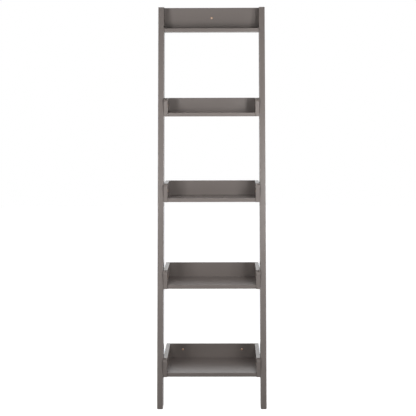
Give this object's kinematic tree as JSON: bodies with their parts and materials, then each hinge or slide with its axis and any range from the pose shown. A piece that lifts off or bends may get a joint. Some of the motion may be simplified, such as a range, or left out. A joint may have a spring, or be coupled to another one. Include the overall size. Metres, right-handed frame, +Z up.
{
  "type": "ladder shelf",
  "caption": "Leaning ladder shelf of painted wood: two sloping side rails carry trays that get deeper towards the floor, and a narrow top shelf with a tall back board.",
  "frame": {"origin": "on the floor, at the centre of the footprint: midway across the two rails, and midway between the wall plane and the front of the rail feet", "axes": "+Z up, -Y the front that is open for use, +Y towards the wall, +X to the right as seen from the front"},
  "size_m": [0.5, 0.45, 1.84],
  "materials": {
    "paint": "satin taupe grey paint over wood",
    "beech": "bare beech",
    "bolt_steel": "dark plated steel",
    "zinc": "zinc plated",
    "rubber": "matt black rubber"
  },
  "bodies": {
    "root": {"rail_left": "paint", "rail_right": "paint", "shelf_1": "paint", "shelf_2": "paint", "shelf_3": "paint", "shelf_4": "paint", "shelf_5": "paint", "back_1": "paint", "back_2": "paint", "back_3": "paint", "back_4": "paint", "back_5": "paint", "side_left_1": "paint", "side_left_2": "paint", "side_left_3": "paint", "side_left_4": "paint", "side_right_1": "paint", "side_right_2": "paint", "side_right_3": "paint", "side_right_4": "paint", "dowels": "beech", "tray_bolts": "bolt_steel", "rail_inserts": "zinc", "top_screws": "bolt_steel", "foot_pads": "rubber"}
  },
  "joints": []
}
